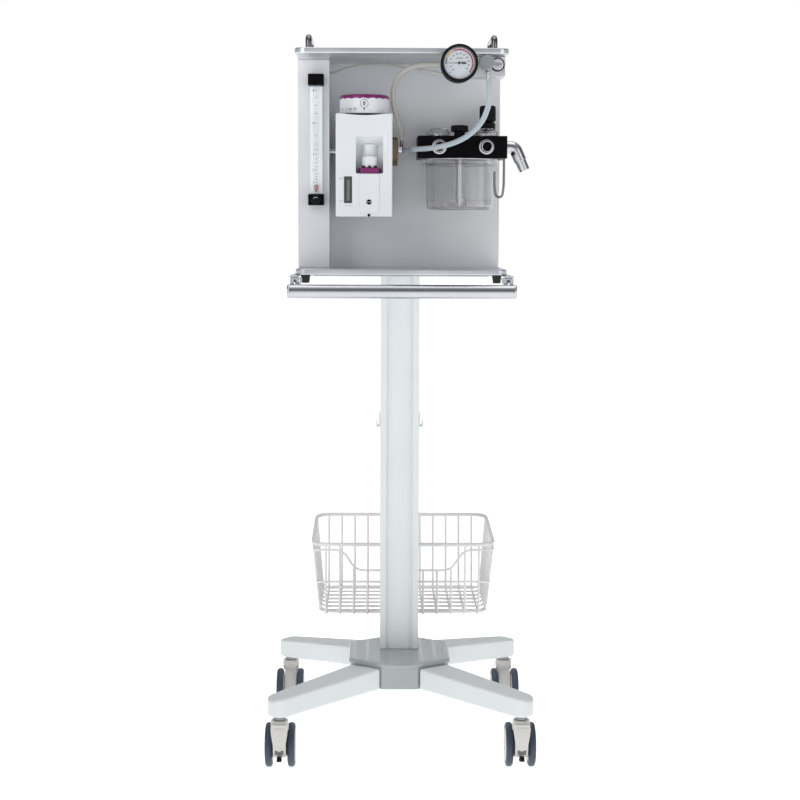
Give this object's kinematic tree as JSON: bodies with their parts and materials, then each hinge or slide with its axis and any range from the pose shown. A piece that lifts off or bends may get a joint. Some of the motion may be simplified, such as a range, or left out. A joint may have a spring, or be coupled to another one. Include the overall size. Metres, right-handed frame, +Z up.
{
  "type": "veterinary anesthesia machine",
  "caption": "Mobile veterinary anesthesia machine: flowmeter, vaporizer and carbon dioxide absorber on a plate frame, on a wheeled column with push bar and basket.",
  "frame": {"origin": "middle of the footprint, on the floor", "axes": "+Z up, the machine faces -Y, +X is to the right of a person facing its controls"},
  "size_m": [0.542, 0.653, 1.4618],
  "materials": {
    "white_paint": "satin powder coat",
    "hub_grey": "gloss enamel",
    "basket_enamel": "gloss plastic dip",
    "caster_plastic": "satin moulded",
    "caster_tyre": "matt",
    "black_plastic": "fine moulded grain",
    "white_plastic": "satin",
    "satin_aluminium": "satin anodised",
    "panel_steel": "fine satin",
    "brushed_bar": "brushed around",
    "bracket_steel": "satin",
    "polished_steel": "fine satin",
    "chrome": "mirror",
    "foot_rubber": "matt",
    "black_anodised": "satin anodised",
    "clear_plastic": "clear moulded plastic",
    "red_plastic": "gloss",
    "vaporizer_paint": "satin powder coat",
    "dial_plastic": "satin",
    "bronze_paint": "satin",
    "gauge_case": "satin",
    "needle_paint": "matt",
    "hose_clear": "clear tubing",
    "hose_milky": "milky tubing"
  },
  "bodies": {
    "machine": {"leg_front_left": "white_paint", "leg_front_right": "white_paint", "leg_back_left": "white_paint", "leg_back_right": "white_paint", "base_hub": "hub_grey", "column": "white_paint", "cable_clip_left": "white_plastic", "cable_clip_right": "white_plastic", "tray": "satin_aluminium", "handle_bar": "brushed_bar", "bar_bracket_left": "bracket_steel", "bar_bracket_right": "bracket_steel", "basket": "basket_enamel", "base_plate": "satin_aluminium", "roof_plate": "satin_aluminium", "back_panel": "panel_steel", "flowmeter_post": "panel_steel", "carry_handle_left": "chrome", "carry_handle_right": "chrome", "foot_left": "foot_rubber", "foot_right": "foot_rubber", "flowmeter_bottom_block": "black_anodised", "flowmeter_top_block": "black_anodised", "flowmeter_tube": "clear_plastic", "vaporizer_body": "vaporizer_paint", "vaporizer_mount": "bronze_paint", "outlet_tee": "chrome", "absorber_block": "black_anodised", "valve_dome_left": "clear_plastic", "valve_dome_right": "clear_plastic", "canister": "clear_plastic", "relief_valve_body": "black_plastic", "bag_hook": "chrome", "control_block": "satin_aluminium", "pressure_gauge": "gauge_case", "hose_outlet": "hose_clear", "hose_tee_riser": "hose_milky", "hose_supply": "hose_milky"},
    "caster_front_left": {"caster_housing_front_left": "caster_plastic"},
    "wheels_front_left": {"caster_wheels_front_left": "caster_tyre"},
    "pedal_front_left": {"brake_pedal_front_left": "black_plastic"},
    "caster_front_right": {"caster_housing_front_right": "caster_plastic"},
    "wheels_front_right": {"caster_wheels_front_right": "caster_tyre"},
    "pedal_front_right": {"brake_pedal_front_right": "black_plastic"},
    "caster_back_left": {"caster_housing_back_left": "caster_plastic"},
    "wheels_back_left": {"caster_wheels_back_left": "caster_tyre"},
    "caster_back_right": {"caster_housing_back_right": "caster_plastic"},
    "wheels_back_right": {"caster_wheels_back_right": "caster_tyre"},
    "dial": {"vaporizer_dial": "dial_plastic"},
    "cap": {"filler_cap": "dial_plastic"},
    "oxygen_knob": {"flow_knob": "black_plastic"},
    "float": {"flow_float": "red_plastic"},
    "relief_knob": {"relief_valve_knob": "black_plastic"},
    "tightener": {"canister_knob": "black_plastic"},
    "elbow": {"outlet_elbow": "polished_steel"},
    "needle": {"gauge_needle": "needle_paint"},
    "button": {"flush_button": "polished_steel"}
  },
  "joints": [
    {"name": "swivel_front_left", "type": "hinge", "parent": "machine", "child": "caster_front_left", "pos_m": [-0.24, -0.2885, 0.1], "axis": [0, 0, 1], "continuous": true},
    {"name": "roll_front_left", "type": "hinge", "parent": "caster_front_left", "child": "wheels_front_left", "pos_m": [-0.24, -0.2605, 0.044], "axis": [1, 0, 0], "continuous": true},
    {"name": "brake_front_left", "type": "hinge", "parent": "caster_front_left", "child": "pedal_front_left", "pos_m": [-0.24, -0.2935, 0.0233], "axis": [1, 0, 0], "range_deg": [0, 15]},
    {"name": "swivel_front_right", "type": "hinge", "parent": "machine", "child": "caster_front_right", "pos_m": [0.24, -0.2885, 0.1], "axis": [0, 0, 1], "continuous": true},
    {"name": "roll_front_right", "type": "hinge", "parent": "caster_front_right", "child": "wheels_front_right", "pos_m": [0.24, -0.2605, 0.044], "axis": [1, 0, 0], "continuous": true},
    {"name": "brake_front_right", "type": "hinge", "parent": "caster_front_right", "child": "pedal_front_right", "pos_m": [0.24, -0.2935, 0.0233], "axis": [1, 0, 0], "range_deg": [0, 15]},
    {"name": "swivel_back_left", "type": "hinge", "parent": "machine", "child": "caster_back_left", "pos_m": [-0.24, 0.1855, 0.1], "axis": [0, 0, 1], "continuous": true},
    {"name": "roll_back_left", "type": "hinge", "parent": "caster_back_left", "child": "wheels_back_left", "pos_m": [-0.24, 0.1575, 0.044], "axis": [1, 0, 0], "continuous": true},
    {"name": "swivel_back_right", "type": "hinge", "parent": "machine", "child": "caster_back_right", "pos_m": [0.24, 0.1855, 0.1], "axis": [0, 0, 1], "continuous": true},
    {"name": "roll_back_right", "type": "hinge", "parent": "caster_back_right", "child": "wheels_back_right", "pos_m": [0.24, 0.1575, 0.044], "axis": [1, 0, 0], "continuous": true},
    {"name": "vaporizer_dial_turn", "type": "hinge", "parent": "machine", "child": "dial", "pos_m": [-0.0747, -0.0795, 1.32], "axis": [0, 0, 1], "range_deg": [0, 290]},
    {"name": "filler_cap_turn", "type": "hinge", "parent": "machine", "child": "cap", "pos_m": [-0.064, -0.1205, 1.206], "axis": [0, 0, 1], "range_deg": [0, 540]},
    {"name": "oxygen_flow_turn", "type": "hinge", "parent": "machine", "child": "oxygen_knob", "pos_m": [-0.1737, -0.0855, 1.131], "axis": [0, 1, 0], "range_deg": [0, 720]},
    {"name": "flow_float_rise", "type": "slide", "parent": "machine", "child": "float", "axis": [0, 0, 1], "range_m": [0, 0.19]},
    {"name": "relief_valve_turn", "type": "hinge", "parent": "machine", "child": "relief_knob", "pos_m": [0.182, 0.0065, 1.311], "axis": [0, 0, 1], "range_deg": [0, 270]},
    {"name": "canister_knob_turn", "type": "hinge", "parent": "machine", "child": "tightener", "pos_m": [0.122, -0.0235, 1.275], "axis": [0, 0, 1], "range_deg": [0, 720]},
    {"name": "outlet_elbow_swivel", "type": "hinge", "parent": "machine", "child": "elbow", "pos_m": [0.228, -0.0315, 1.2403], "axis": [1, 0, 0], "range_deg": [-90, 90]},
    {"name": "gauge_needle_turn", "type": "hinge", "parent": "machine", "child": "needle", "pos_m": [0.1102, -0.2435, 1.3929], "axis": [0, 1, 0], "range_deg": [-25, 235], "stiffness_Nm_per_rad": 0.0005},
    {"name": "oxygen_flush_press", "type": "slide", "parent": "machine", "child": "button", "axis": [0, 1, 0], "range_m": [0, 0.004], "stiffness_N_per_m": 400}
  ]
}
